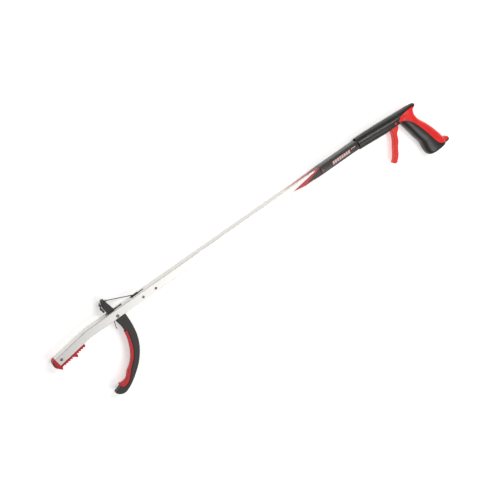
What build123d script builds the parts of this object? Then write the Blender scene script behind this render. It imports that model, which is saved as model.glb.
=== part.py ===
from build123d import *
import os
from math import acos, atan2, cos, hypot, radians, sin

# Reacher grabber, modelled in millimetres. While it is modelled, the tube's axis is X, x = 0 is
# the front of the fixed tip, +Y is the lever side, the jaw and the grip hang towards -Y, and
# z = 0 is the plane of symmetry. At the end all pieces are laid on their right side.

# ---- driving dimensions ------------------------------------------------------------------
# tube
TUBE_SIDE = 15.5
TUBE_WALL = 1.3
TUBE_CORNER = 1.5
TUBE_REAR = 704.0
BEND_X = 77.0
BEND_ANGLE = 8.8
BEND_RADIUS = 80.0
TIP_RUN = 69.0

# clearances
RUNNING = 0.06
SLIP = 0.05
SIDE_GAP = 0.4
PRINT_GAP = 0.02

# pins and rivets
PIVOT_X, PIVOT_Y, PIVOT_R = 133.3, -3.3, 3.0
GUIDE_RIVET_X = (186.9, 213.0)
GUIDE_RIVET_Y = -1.9
GUIDE_RIVET_R = 2.4
TIP_RIVET_U, TIP_RIVET_V, TIP_RIVET_R = 8.0, 0.0, 2.6
RIVET_RECESS = 0.3

# slots in the tube
JAW_SLOT_FRONT, JAW_SLOT_REAR = 106.0, 151.0
LEVER_SLOT_FRONT, LEVER_SLOT_REAR = 117.5, 150.0
CABLE_SLOT_FRONT, CABLE_SLOT_REAR, CABLE_SLOT_WIDTH = 168.0, 195.0, 5.0
SLOT_CORNER = 1.5
CABLE_SLOT_CORNER = 0.3

# fixed tip
INSERT_LENGTH = 52.0
INSERT_SLOT_WIDTH = 10.5
CAP_FRONT = 9.2
STRIP_DEPTH = 3.3
TOOTH_DEPTH = 2.4
TOOTH_PITCH = 4.7
TOOTH_COUNT = 10
FANG_DEPTH = 7.2
FANG_U = 29.5

# moving jaw
JAW_THICKNESS = 12.0
LEVER_THICKNESS = 8.0
JAW_HUB_R = 8.6
CLIP_THICKNESS, CLIP_LOBE_R = 1.1, 2.0
PAD_THICKNESS = 10.0
PAD_RIB_PITCH = 3.0
PAD_RIB_DEPTH = 0.7

# pull cable
CABLE_R = 0.9
ANCHOR_X, ANCHOR_Y = 125.6, 31.6
ANCHOR_PIN_R = 1.3
EYE_R = 3.0
EYE_THICKNESS = 2.4
SPAN_END_X, SPAN_END_Y = 177.6, 7.8
CABLE_BEND_R = 30.0
CABLE_Y = 3.5

# return spring
SPRING_WIRE_R = 0.7
SPRING_MEAN_R = 4.5
SPRING_TURNS = 2.6
SPRING_PITCH = 1.55
SPRING_START = 78.0
SPRING_LEG = 20.5
SPRING_POCKET_WIDTH = 5.8

# cable guide
GUIDE_FRONT, GUIDE_REAR = 168.6, 222.0
COLLAR_REAR = 185.5
COLLAR_HEIGHT = 1.5
CHANNEL_WIDTH = 2.6
CHANNEL_MOUTH_X = 199.0
CHANNEL_BACK_X = 207.0

# printed label round the tube
LABEL_THICKNESS = 0.2
LABEL_FRONT, LABEL_REAR = 566.0, 666.5
LABEL_TIP_X, LABEL_TIP_Y = 512.0, -2.0
LABEL_LOWER_X = 538.0
LABEL_TOP_TIP_X = 500.0

# handle
RIM_X = 664.0
MOUTH_R, MOUTH_DEPTH = 10.9, 3.0
GRIP_HALF = 13.5
GRIP_CORNER = 10.0
HORN_HALF = 9.0
HORN_FILLET = 1.5
SHELL_WALL = 3.0
COVER_THICKNESS = 2.5
OVERALL_LENGTH = 840.0

# trigger and its pulley
TRIGGER_X, TRIGGER_Y = 746.9, -6.6
TRIGGER_PIN_R = 2.2
TRIGGER_PIN_HALF = 12.4
TRIGGER_HUB_R = 5.6
TRIGGER_WIDTH = 12.0
TRIGGER_FILLET = 2.0
ARM_LENGTH, ARM_ANGLE = 25.5, 155.5
ARM_WIDTH, ARM_THICKNESS = 6.0, 9.0
FORK_GAP = 4.0
PULLEY_GROOVE_R, PULLEY_R, PULLEY_WIDTH = 2.3, 3.2, 3.4
PULLEY_PIN_R = 1.2
ROLLER_X = 711.5
CABLE_POST_X, CABLE_POST_Y, CABLE_POST_HALF = 733.0, 5.0, 7.2
HANDLE_CABLE_X = 674.0
MECHANISM_HALF, BLADE_SLOT_HALF = 5.2, 6.6

# screws in the handle, and the pin that holds the tube in it
SCREW_PLACES = ((766.5, -19.5), (785.0, -48.0), (801.0, -89.0))
SCREW_R, SCREW_HEAD_R, SCREW_HEAD_H = 1.4, 2.7, 1.8
BOSS_R = 4.0
TUBE_PIN_X, TUBE_PIN_Y, TUBE_PIN_R, TUBE_PIN_HALF = 684.0, -3.2, 1.5, 9.4

# ---- sizes worked out from them --------------------------------------------------------------
half_tube = TUBE_SIDE / 2
bore_side = TUBE_SIDE - 2 * TUBE_WALL
half_bore = bore_side / 2
bend = radians(BEND_ANGLE)
tip_x = BEND_X - TIP_RUN * cos(bend)
tip_y = -TIP_RUN * sin(bend)
bore_corner = TUBE_CORNER / 3
rivet_half = half_tube - RIVET_RECESS
jaw_slot_width = JAW_THICKNESS + SIDE_GAP
lever_slot_width = LEVER_THICKNESS + SIDE_GAP
arm = radians(ARM_ANGLE)
pulley_x = TRIGGER_X + ARM_LENGTH * cos(arm)
pulley_y = TRIGGER_Y + ARM_LENGTH * sin(arm)
groove_run = PULLEY_GROOVE_R + CABLE_R
roller_y = CABLE_Y - groove_run

TIP_PLANE = Plane(origin=(tip_x, tip_y, 0), x_dir=(cos(bend), sin(bend), 0), z_dir=(0, 0, 1))
TOP_FACE = Plane(origin=(0, half_tube, 0), x_dir=(1, 0, 0), z_dir=(0, 1, 0))
UNDERSIDE = Plane(origin=(0, -half_tube, 0), x_dir=(1, 0, 0), z_dir=(0, -1, 0))
TIP_SECTION = Plane(origin=TIP_PLANE.origin, x_dir=TIP_PLANE.y_dir, z_dir=TIP_PLANE.x_dir)
ARM_PLANE = Plane(origin=(TRIGGER_X, TRIGGER_Y, 0), x_dir=(cos(arm), sin(arm), 0), z_dir=(0, 0, 1))
TIP_UNDERSIDE = Plane(
    origin=TIP_PLANE.from_local_coords((0, -half_tube, 0)),
    x_dir=TIP_PLANE.x_dir,
    z_dir=-TIP_PLANE.y_dir,
)

pieces = {}


def keep(name, builder):
    """Label a finished piece and put it on the list that is written at the end."""
    builder.part.label = name
    pieces[name] = builder.part


# ---- tube --------------------------------------------------------------------------------
with BuildPart() as tube:
    with BuildLine() as tube_line:
        FilletPolyline((TUBE_REAR, 0), (BEND_X, 0), (tip_x, tip_y), radius=BEND_RADIUS)
    with BuildSketch(Plane(origin=(TUBE_REAR, 0, 0), x_dir=(0, 1, 0), z_dir=(-1, 0, 0))):
        RectangleRounded(TUBE_SIDE, TUBE_SIDE, TUBE_CORNER)
        RectangleRounded(bore_side, bore_side, bore_corner, mode=Mode.SUBTRACT)
    sweep(path=tube_line.line)
    with BuildSketch(UNDERSIDE):
        with Locations(((JAW_SLOT_FRONT + JAW_SLOT_REAR) / 2, 0)):
            RectangleRounded(JAW_SLOT_REAR - JAW_SLOT_FRONT, jaw_slot_width, SLOT_CORNER)
    extrude(amount=-half_tube, mode=Mode.SUBTRACT)
    with BuildSketch(TOP_FACE):
        with Locations(((LEVER_SLOT_FRONT + LEVER_SLOT_REAR) / 2, 0)):
            RectangleRounded(LEVER_SLOT_REAR - LEVER_SLOT_FRONT, lever_slot_width, SLOT_CORNER)
        with Locations(((CABLE_SLOT_FRONT + CABLE_SLOT_REAR) / 2, 0)):
            RectangleRounded(CABLE_SLOT_REAR - CABLE_SLOT_FRONT, CABLE_SLOT_WIDTH, CABLE_SLOT_CORNER)
    extrude(amount=-half_tube, mode=Mode.SUBTRACT)
    with BuildSketch(TIP_UNDERSIDE):
        with Locations((INSERT_LENGTH / 2, 0)):
            Rectangle(INSERT_LENGTH, INSERT_SLOT_WIDTH + SIDE_GAP)
    extrude(amount=-half_tube, mode=Mode.SUBTRACT)
    with BuildSketch(Plane.XY):
        with Locations((PIVOT_X, PIVOT_Y)):
            Circle(PIVOT_R + SLIP)
        with Locations(*[(x, GUIDE_RIVET_Y) for x in GUIDE_RIVET_X]):
            Circle(GUIDE_RIVET_R + SLIP)
        with Locations((TUBE_PIN_X, TUBE_PIN_Y)):
            Circle(TUBE_PIN_R + SLIP)
    extrude(amount=TUBE_SIDE, both=True, mode=Mode.SUBTRACT)
    with BuildSketch(TIP_PLANE):
        with Locations((TIP_RIVET_U, TIP_RIVET_V)):
            Circle(TIP_RIVET_R + SLIP)
    extrude(amount=TUBE_SIDE, both=True, mode=Mode.SUBTRACT)
keep("tube", tube)


# ---- rivets and pins ---------------------------------------------------------------------
def cross_pin(name, plane, x, y, radius, low, high):
    """A round pin across the tool, from z = low to z = high, with broken edges."""
    with BuildPart() as pin:
        with BuildSketch(plane.offset(low)):
            with Locations((x, y)):
                Circle(radius)
        extrude(amount=high - low)
        chamfer(pin.edges().filter_by(GeomType.CIRCLE), radius / 8)
    keep(name, pin)


cross_pin("tip_rivet", TIP_PLANE, TIP_RIVET_U, TIP_RIVET_V, TIP_RIVET_R, -rivet_half, rivet_half)
cross_pin("jaw_pivot", Plane.XY, PIVOT_X, PIVOT_Y, PIVOT_R, -rivet_half, rivet_half)
for side, rivet_x in zip(("front", "rear"), GUIDE_RIVET_X):
    cross_pin(
        "guide_rivet_" + side, Plane.XY, rivet_x, GUIDE_RIVET_Y, GUIDE_RIVET_R, -rivet_half, rivet_half
    )
cross_pin("tube_pin", Plane.XY, TUBE_PIN_X, TUBE_PIN_Y, TUBE_PIN_R, -TUBE_PIN_HALF, TUBE_PIN_HALF)

# ---- fixed tip: plug in the tube, convex cap, toothed strip along the underside ----------------
strip_v = -half_tube - STRIP_DEPTH
tooth_v = strip_v - TOOTH_DEPTH
first_tooth_u = 4.0
with BuildPart() as tip_insert:
    with BuildSketch(TIP_SECTION):
        RectangleRounded(bore_side - 2 * SLIP, bore_side - 2 * SLIP, bore_corner)
    extrude(amount=INSERT_LENGTH)
    with BuildSketch(TIP_PLANE):
        with Locations((INSERT_LENGTH / 2, -half_tube)):
            Rectangle(INSERT_LENGTH - SIDE_GAP, 4 * TUBE_WALL)
    extrude(amount=INSERT_SLOT_WIDTH / 2, both=True)
    with BuildSketch(TIP_PLANE):
        with BuildLine():
            cap_top = Line((-SLIP, half_tube), (-CAP_FRONT / 2, half_tube))
            ThreePointArc(cap_top @ 1, (-CAP_FRONT, 0), (-CAP_FRONT * 0.76, -half_tube))
            Polyline(
                (-CAP_FRONT * 0.76, -half_tube),
                (-CAP_FRONT * 0.4, strip_v - 2.2),
                (-CAP_FRONT * 0.2, strip_v - 4.8),
                (TOOTH_PITCH / 4, strip_v),
                (INSERT_LENGTH, strip_v),
                (INSERT_LENGTH, -half_tube - SLIP),
                (-SLIP, -half_tube - SLIP),
                cap_top @ 0,
            )
        make_face()
    extrude(amount=half_tube - SLIP, both=True)
    with BuildSketch(TIP_PLANE):
        for i in range(TOOTH_COUNT):
            u = first_tooth_u + i * TOOTH_PITCH
            with BuildLine():
                Polyline(
                    (u, strip_v + 1),
                    (u + TOOTH_PITCH * 0.75, tooth_v),
                    (u + TOOTH_PITCH, strip_v),
                    (u + TOOTH_PITCH, strip_v + 1),
                    close=True,
                )
            make_face()
        with BuildLine():
            Polyline(
                (FANG_U - TOOTH_PITCH, strip_v + 1),
                (FANG_U, strip_v - FANG_DEPTH),
                (FANG_U + TOOTH_PITCH * 0.6, strip_v - FANG_DEPTH / 2),
                (FANG_U + TOOTH_PITCH * 0.3, strip_v + 1),
                close=True,
            )
        make_face()
    extrude(amount=half_tube - 1.0, both=True)
    with BuildSketch(TIP_PLANE):
        with Locations((TIP_RIVET_U, TIP_RIVET_V)):
            Circle(TIP_RIVET_R + SLIP)
    extrude(amount=TUBE_SIDE, both=True, mode=Mode.SUBTRACT)
keep("tip_insert", tip_insert)

# ---- moving jaw: hooked blade below the pivot, cable lever above it, one moulding --------------
jaw_outer = (
    (146.8, -16.5),
    (145.8, -40.0),
    (141.3, -61.0),
    (131.8, -81.0),
    (118.8, -98.0),
    (103.2, -112.0),
    (89.5, -121.8),
    (74.0, -128.8),
)
jaw_tip = (57.6, -118.0)
jaw_seat = (
    (133.4, -36.0),
    (131.4, -47.5),
    (128.0, -62.0),
    (122.6, -75.5),
    (113.8, -88.0),
    (102.6, -99.4),
    (95.0, -108.6),
    (88.2, -115.4),
    (81.0, -118.8),
    (75.0, -118.4),
    (71.0, -113.4),
)
pad_face = (
    (128.4, -35.4),
    (126.6, -49.6),
    (122.2, -64.2),
    (114.0, -81.0),
    (103.2, -93.6),
    (93.0, -101.8),
    (87.2, -108.6),
    (79.0, -111.2),
    (70.4, -109.2),
)
anchor_slot_y = ANCHOR_Y - EYE_R - 2.4
with BuildPart() as jaw:
    with BuildSketch(Plane.XY):
        with BuildLine():
            Line((146.8, -9.5), jaw_outer[0])
            Spline(*jaw_outer)
            ThreePointArc(jaw_outer[-1], (63.0, -125.6), jaw_tip)
            ThreePointArc(jaw_tip, (65.2, -116.0), jaw_seat[-1])
            Spline(*jaw_seat[::-1])
            Polyline(jaw_seat[0], (129.8, -33.6), (129.4, -24.0), (127.2, -14.0), (126.0, -8.0))
            Polyline((126.0, -8.0), (133.3, -2.0), (146.8, -9.5))
        make_face()
        with Locations((PIVOT_X, PIVOT_Y)):
            Circle(JAW_HUB_R)
    extrude(amount=JAW_THICKNESS / 2, both=True)
    with BuildSketch(Plane.XY):
        with BuildLine():
            Polyline(
                (136.0, 2.0), (134.9, 9.5), (130.4, 26.0), (ANCHOR_X + 3.6, ANCHOR_Y + 0.4)
            )
            ThreePointArc(
                (ANCHOR_X + 3.6, ANCHOR_Y + 0.4),
                (ANCHOR_X, ANCHOR_Y + 3.4),
                (ANCHOR_X - 3.4, ANCHOR_Y + 0.6),
            )
            Polyline(
                (ANCHOR_X - 3.4, ANCHOR_Y + 0.6),
                (121.0, 26.4),
                (119.6, 20.6),
                (120.6, 14.6),
                (121.2, 8.6),
                (126.0, 2.0),
                (136.0, 2.0),
            )
        make_face()
    extrude(amount=LEVER_THICKNESS / 2, both=True)
    with BuildSketch(Plane.XY):
        with Locations((ANCHOR_X + EYE_R, ANCHOR_Y + EYE_R / 2)):
            Rectangle(4 * EYE_R, 3 * EYE_R + 3.0)
        with Locations((ANCHOR_X, ANCHOR_Y)):
            Circle(EYE_R + SIDE_GAP)
    extrude(amount=(EYE_THICKNESS + SIDE_GAP) / 2, both=True, mode=Mode.SUBTRACT)
    with BuildSketch(Plane.XY):
        with Locations((PIVOT_X, PIVOT_Y)):
            Circle(SPRING_MEAN_R + SPRING_WIRE_R + SIDE_GAP)
        with BuildLine():
            Polyline(
                (PIVOT_X, PIVOT_Y),
                (PIVOT_X, PIVOT_Y + SPRING_MEAN_R + SPRING_WIRE_R + SIDE_GAP),
                (PIVOT_X - 18, PIVOT_Y + 10.5),
                (PIVOT_X - 18, PIVOT_Y - 18),
                (PIVOT_X - 5.4, PIVOT_Y - 11),
                (PIVOT_X, PIVOT_Y - 4),
                close=True,
            )
        make_face()
    extrude(amount=SPRING_POCKET_WIDTH / 2, both=True, mode=Mode.SUBTRACT)
    with BuildSketch(Plane.XY):
        with Locations((PIVOT_X, PIVOT_Y)):
            Circle(PIVOT_R + RUNNING)
        with Locations((ANCHOR_X, ANCHOR_Y)):
            Circle(ANCHOR_PIN_R + SLIP)
    extrude(amount=TUBE_SIDE, both=True, mode=Mode.SUBTRACT)
keep("jaw", jaw)

with BuildPart() as jaw_pad:
    with BuildSketch(Plane.XY):
        with BuildLine():
            Spline(*jaw_seat)
            Line(jaw_seat[-1], pad_face[-1])
            face_line = Spline(*pad_face[::-1])
            Line(pad_face[0], jaw_seat[0])
        make_face()
    extrude(amount=PAD_THICKNESS / 2, both=True)
    rib_count = int(face_line.length / PAD_RIB_PITCH)
    rib_spots = [face_line @ ((i + 0.5) / rib_count) for i in range(rib_count)]
    with BuildSketch(Plane.XY):
        with Locations(*rib_spots):
            Circle(PAD_RIB_DEPTH)
    extrude(amount=PAD_THICKNESS, both=True, mode=Mode.SUBTRACT)
keep("jaw_pad", jaw_pad)

# clip on the front edge of the lever, which closes the slot that the cable's eye sits in
with BuildPart() as lever_clip:
    with BuildSketch(Plane.XY):
        with BuildLine():
            clip_line = Polyline(
                (119.2, 14.8), (118.0, 17.4), (118.1, 20.8), (119.4, 26.8), (120.7, 31.6)
            )
            offset(amount=CLIP_THICKNESS, side=Side.LEFT)
        make_face()
        with Locations((118.0, 15.6), (116.9, 20.8), (118.5, 27.2)):
            Circle(CLIP_LOBE_R)
    extrude(amount=LEVER_THICKNESS / 2 - 0.5, both=True)
keep("lever_clip", lever_clip)

cross_pin(
    "cable_anchor_pin",
    Plane.XY,
    ANCHOR_X,
    ANCHOR_Y,
    ANCHOR_PIN_R,
    -LEVER_THICKNESS / 2 + SIDE_GAP,
    LEVER_THICKNESS / 2 - SIDE_GAP,
)

# ---- pull cable: eye and outside span, curved entry, straight run, loop in the handle ----------
span_angle = atan2(SPAN_END_Y - ANCHOR_Y, SPAN_END_X - ANCHOR_X)
with BuildPart() as cable_span:
    with BuildSketch(Plane.XY):
        with Locations((ANCHOR_X, ANCHOR_Y)):
            Circle(EYE_R)
            Circle(ANCHOR_PIN_R + RUNNING, mode=Mode.SUBTRACT)
    extrude(amount=EYE_THICKNESS / 2, both=True)
    span_start = (ANCHOR_X + (EYE_R - 0.6) * cos(span_angle), ANCHOR_Y + (EYE_R - 0.6) * sin(span_angle))
    with BuildLine() as span_line:
        Line(span_start, (SPAN_END_X, SPAN_END_Y))
    with BuildSketch(Plane(origin=span_line.line @ 0, z_dir=span_line.line % 0)):
        Circle(CABLE_R)
    sweep(path=span_line.line)
keep("cable_span", cable_span)

entry_start = (SPAN_END_X + 0.2 * cos(span_angle), SPAN_END_Y + 0.2 * sin(span_angle))
entry_corner_x = SPAN_END_X + (CABLE_Y - SPAN_END_Y) / (sin(span_angle) / cos(span_angle))
inner_start_x = entry_corner_x + CABLE_BEND_R / 2
with BuildPart() as cable_entry:
    with BuildLine() as entry_line:
        FilletPolyline(
            entry_start, (entry_corner_x, CABLE_Y), (inner_start_x, CABLE_Y), radius=CABLE_BEND_R
        )
    with BuildSketch(Plane(origin=entry_line.line @ 0, z_dir=entry_line.line % 0)):
        Circle(CABLE_R)
    sweep(path=entry_line.line)
keep("cable_entry", cable_entry)

with BuildPart() as inner_cable:
    with BuildSketch(Plane.YZ.offset(inner_start_x + 0.2)):
        with Locations((CABLE_Y, 0)):
            Circle(CABLE_R)
    extrude(amount=HANDLE_CABLE_X - inner_start_x - 0.4)
keep("inner_cable", inner_cable)


def crossed_tangent(x1, y1, x2, y2, run):
    """Where a cable that goes over circle 1 and under circle 2, both of radius run, leaves and lands."""
    distance = hypot(x2 - x1, y2 - y1)
    line = atan2(y2 - y1, x2 - x1)
    spread = acos(2 * run / distance)
    leave = line + spread
    return (
        (x1 + run * cos(leave), y1 + run * sin(leave)),
        (x2 - run * cos(leave), y2 - run * sin(leave)),
    )


def tangent_to_point(x, y, run, end_x, end_y):
    """Where a cable that has gone under a circle leaves it on its way up to a point on its right."""
    distance = hypot(end_x - x, end_y - y)
    leave = atan2(end_y - y, end_x - x) - acos(run / distance)
    return (x + run * cos(leave), y + run * sin(leave))


roller_off, pulley_on = crossed_tangent(ROLLER_X, roller_y, pulley_x, pulley_y, groove_run)
post_low = (CABLE_POST_X - 0.4, CABLE_POST_Y - PULLEY_PIN_R - CABLE_R)
pulley_off = tangent_to_point(pulley_x, pulley_y, groove_run, *post_low)
with BuildPart() as handle_cable:
    with BuildLine() as handle_line:
        Line((HANDLE_CABLE_X, CABLE_Y), (ROLLER_X, CABLE_Y))
        RadiusArc((ROLLER_X, CABLE_Y), roller_off, groove_run)
        Line(roller_off, pulley_on)
        RadiusArc(pulley_on, pulley_off, -groove_run)
        Line(pulley_off, post_low)
    with BuildSketch(Plane(origin=(HANDLE_CABLE_X, CABLE_Y, 0), x_dir=(0, 1, 0), z_dir=(1, 0, 0))):
        Circle(CABLE_R)
    sweep(path=handle_line.line)
keep("handle_cable", handle_cable)

# ---- return spring on the jaw pivot ------------------------------------------------------------
coil_height = SPRING_TURNS * SPRING_PITCH
coil_start = Location((PIVOT_X, PIVOT_Y, -coil_height / 2), (0, 0, SPRING_START))
leg_direction = (-sin(radians(SPRING_START)), cos(radians(SPRING_START)), 0)
jaw_leg_points = ((PIVOT_X - 6.0, PIVOT_Y - 1.2), (123.6, -12.4), (120.9, -22.4), (121.6, -24.6))
with BuildPart() as return_spring:
    coil_line = coil_start * Helix(
        SPRING_PITCH, coil_height, SPRING_MEAN_R, lefthand=True, mode=Mode.PRIVATE
    )
    with BuildSketch(Plane(origin=coil_line @ 0, z_dir=coil_line % 0)):
        Circle(SPRING_WIRE_R)
    sweep(path=coil_line, is_frenet=True)
    with BuildSketch(Plane(origin=coil_line @ 0, z_dir=leg_direction)):
        Circle(SPRING_WIRE_R)
    extrude(amount=SPRING_LEG)
keep("return_spring", return_spring)

with BuildPart() as spring_leg:
    with BuildLine() as leg_line:
        FilletPolyline(*jaw_leg_points, radius=1.6)
    with BuildSketch(Plane(origin=leg_line.line @ 0, z_dir=leg_line.line % 0)):
        Circle(SPRING_WIRE_R)
    sweep(path=leg_line.line)
keep("spring_leg", spring_leg)

# ---- cable guide in the tube, with a collar that stands proud of the top face ------------------
guide_half = half_bore - SLIP
with BuildPart() as cable_guide:
    with BuildSketch(Plane.YZ.offset(GUIDE_FRONT)):
        RectangleRounded(2 * guide_half, 2 * guide_half, bore_corner)
    extrude(amount=GUIDE_REAR - GUIDE_FRONT)
    with BuildSketch(Plane.XY):
        with BuildLine():
            Polyline(
                (GUIDE_FRONT, 0),
                (GUIDE_FRONT, half_tube),
                (GUIDE_FRONT + 3, half_tube + COLLAR_HEIGHT),
                (COLLAR_REAR - 3, half_tube + COLLAR_HEIGHT),
                (COLLAR_REAR, half_tube),
                (CABLE_SLOT_REAR - SIDE_GAP, half_tube),
                (CABLE_SLOT_REAR - SIDE_GAP, 0),
                close=True,
            )
        make_face()
    extrude(amount=(CABLE_SLOT_WIDTH - SIDE_GAP) / 2, both=True)
    with BuildSketch(Plane.XY):
        with BuildLine():
            Polyline(
                (GUIDE_FRONT - 1, half_tube + 2 * COLLAR_HEIGHT),
                (CABLE_SLOT_REAR, half_tube + 2 * COLLAR_HEIGHT),
                (CABLE_SLOT_REAR, half_bore),
                (CHANNEL_MOUTH_X, CABLE_Y + CHANNEL_WIDTH / 2 + 0.3),
                (GUIDE_REAR + 1, CABLE_Y + CHANNEL_WIDTH / 2 + 0.3),
                (GUIDE_REAR + 1, CABLE_Y - CHANNEL_WIDTH / 2 - 0.1),
                (CHANNEL_BACK_X, CABLE_Y - CHANNEL_WIDTH),
                (CHANNEL_BACK_X + 1, -half_tube),
                (CABLE_SLOT_REAR + 1, -half_tube),
                (GUIDE_FRONT - 1, half_tube - TUBE_WALL),
                close=True,
            )
        make_face()
    extrude(amount=CHANNEL_WIDTH / 2, both=True, mode=Mode.SUBTRACT)
    with BuildSketch(Plane.XY):
        with Locations(*[(x, GUIDE_RIVET_Y) for x in GUIDE_RIVET_X]):
            Circle(GUIDE_RIVET_R + SLIP)
    extrude(amount=TUBE_SIDE, both=True, mode=Mode.SUBTRACT)
keep("cable_guide", cable_guide)

# ---- printed label: a wrap round the tube with a pointed front on each face --------------------
label_half = half_tube + LABEL_THICKNESS
print_half = half_tube + PRINT_GAP
with BuildPart() as label_sleeve:
    with BuildSketch(Plane.YZ.offset(LABEL_FRONT)):
        RectangleRounded(2 * label_half, 2 * label_half, TUBE_CORNER)
        RectangleRounded(2 * print_half, 2 * print_half, TUBE_CORNER, mode=Mode.SUBTRACT)
    extrude(amount=LABEL_REAR - LABEL_FRONT)
    flat = half_tube - TUBE_CORNER
    for face_z in (print_half, -label_half):
        with BuildSketch(Plane.XY.offset(face_z)):
            with BuildLine():
                Polyline(
                    (LABEL_TIP_X, LABEL_TIP_Y),
                    (LABEL_FRONT + 1, flat),
                    (LABEL_FRONT + 1, -flat),
                    (LABEL_LOWER_X, -flat),
                    close=True,
                )
            make_face()
        extrude(amount=LABEL_THICKNESS - PRINT_GAP)
    for face_y in (print_half, -label_half):
        with BuildSketch(Plane(origin=(0, face_y, 0), x_dir=(1, 0, 0), z_dir=(0, 1, 0))):
            with BuildLine():
                Polyline(
                    (LABEL_TOP_TIP_X, 0), (LABEL_FRONT + 1, flat), (LABEL_FRONT + 1, -flat), close=True
                )
            make_face()
        extrude(amount=LABEL_THICKNESS - PRINT_GAP)
keep("label_sleeve", label_sleeve)

# ---- handle: outer form, also made smaller for the seat of the covers and for the hollow --------
barrel_sections = (
    (RIM_X, 0.0, 11.5, 11.6),
    (690.0, -1.1, 12.1, 12.2),
    (740.0, -3.8, 12.0, 13.0),
    (780.0, -3.4, 9.4, 11.0),
    (801.5, -0.4, 3.4, 4.4),
)
# front and back point of each section of the grip, from the barrel down to the heel
grip_sections = (
    ((757.0, -9.0), (796.0, -4.0)),
    ((762.5, -22.0), (792.8, -13.0)),
    ((767.6, -37.0), (796.2, -26.5)),
    ((773.2, -55.0), (806.4, -41.5)),
    ((778.6, -74.0), (816.6, -59.5)),
    ((782.6, -89.5), (825.0, -78.0)),
    ((785.4, -98.6), (829.0, -90.5)),
    ((789.0, -102.0), (828.0, -101.0)),
)
horn_root = (826.0, -86.0)
horn_top = ((830.6, -89.6), (835.0, -91.2), (OVERALL_LENGTH, -97.0))
horn_heel = ((OVERALL_LENGTH, -97.0), (838.6, -99.6), (828.0, -101.6))


def grip_form(inset):
    """The grip from the barrel down to the heel, drawn in by inset all round."""
    with BuildPart() as grip:
        for front, back in grip_sections:
            depth = hypot(back[0] - front[0], back[1] - front[1]) - 2 * inset
            middle = ((front[0] + back[0]) / 2, (front[1] + back[1]) / 2, 0)
            across = (back[0] - front[0], back[1] - front[1], 0)
            along = (back[1] - front[1], front[0] - back[0], 0)
            with BuildSketch(Plane(origin=middle, x_dir=across, z_dir=along)):
                RectangleRounded(depth, 2 * (GRIP_HALF - inset), GRIP_CORNER - inset)
        loft()
    return grip.part


def handle_form(inset):
    """The solid that both shells and their covers are cut from, drawn in by inset all round."""
    with BuildPart() as horn:
        with BuildSketch():
            with BuildLine():
                Line(horn_root, horn_top[0])
                ThreePointArc(*horn_top)
                ThreePointArc(*horn_heel)
                Polyline(horn_heel[-1], (815.0, -98.0), horn_root)
            make_face()
            if inset:
                offset(amount=-inset, kind=Kind.INTERSECTION)
        extrude(amount=HORN_HALF - inset, both=True)
        if not inset:
            fillet(horn.faces().filter_by(Axis.Z).edges(), HORN_FILLET)
    with BuildPart() as form:
        for x, y, half_height, half_width in barrel_sections:
            with BuildSketch(Plane(origin=(x, y, 0), x_dir=(0, 1, 0), z_dir=(1, 0, 0))):
                Ellipse(half_height - inset, half_width - inset)
        loft()
        add(grip_form(inset))
        add(horn.part)
    return form.part


outer_form = handle_form(0)
cover_seat = handle_form(COVER_THICKNESS)

# ---- soft covers over the back of the grip -----------------------------------------------------
cover_front = (
    (791.4, 1.6),
    (779.0, 1.6),
    (767.6, 0.0),
    (759.0, -2.6),
    (754.4, -6.0),
)
cover_lower = (
    (754.4, -10.0),
    (765.2, -12.2),
    (773.5, -17.4),
    (782.4, -29.0),
    (791.2, -45.0),
    (798.6, -61.5),
    (806.2, -79.5),
    (812.0, -89.4),
    (821.5, -94.4),
    (831.5, -94.0),
)


def cover_region():
    """The outline that the soft covers take up, from the web of the hand down to the heel."""
    with BuildSketch() as region:
        with BuildLine():
            Spline(*cover_front)
            Line(cover_front[-1], cover_lower[0])
            Spline(*cover_lower)
            Polyline(cover_lower[-1], (OVERALL_LENGTH + 5, -97.0), (OVERALL_LENGTH + 5, -2.6))
            Polyline((OVERALL_LENGTH + 5, -2.6), (800.0, -2.6), cover_front[0])
        make_face()
    return region.sketch


with BuildPart() as covers:
    add(cover_region())
    extrude(amount=GRIP_HALF + 1, both=True)
    add(outer_form, mode=Mode.INTERSECT)
    add(cover_seat, mode=Mode.SUBTRACT)

for side, keep_side in (("left", Keep.TOP), ("right", Keep.BOTTOM)):
    with BuildPart() as grip_cover:
        add(covers.part)
        split(bisect_by=Plane.XY, keep=keep_side)
    keep("grip_cover_" + side, grip_cover)

# ---- handle shells -----------------------------------------------------------------------------
cavity_outline = (
    (TUBE_REAR + 2.5, 7.2),
    (724.0, 7.5),
    (757.0, 4.6),
    (758.6, -12.0),
    (734.0, -13.1),
    (716.5, -13.1),
    (TUBE_REAR + 2.5, -11.0),
)
blade_slot_outline = (
    (733.0, -11.0),
    (742.0, -11.0),
    (748.0, -5.5),
    (758.6, -5.5),
    (758.6, -26.0),
    (733.0, -26.0),
)
screw_seat = -9.0
screw_tip = 9.0
grip_hollow_top = -26.0

with BuildPart() as grip_hollow:
    add(grip_form(COVER_THICKNESS + SHELL_WALL))
    with BuildSketch():
        with Locations((OVERALL_LENGTH, grip_hollow_top + OVERALL_LENGTH / 2)):
            Rectangle(OVERALL_LENGTH, OVERALL_LENGTH)
    extrude(amount=GRIP_HALF, both=True, mode=Mode.SUBTRACT)
    with BuildSketch():
        with Locations((RIM_X, 0)):
            Rectangle(2 * (TRIGGER_X - RIM_X), OVERALL_LENGTH)
    extrude(amount=GRIP_HALF, both=True, mode=Mode.SUBTRACT)
    with BuildSketch():
        with Locations(*SCREW_PLACES):
            Circle(BOSS_R)
    extrude(amount=GRIP_HALF, both=True, mode=Mode.SUBTRACT)

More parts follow.
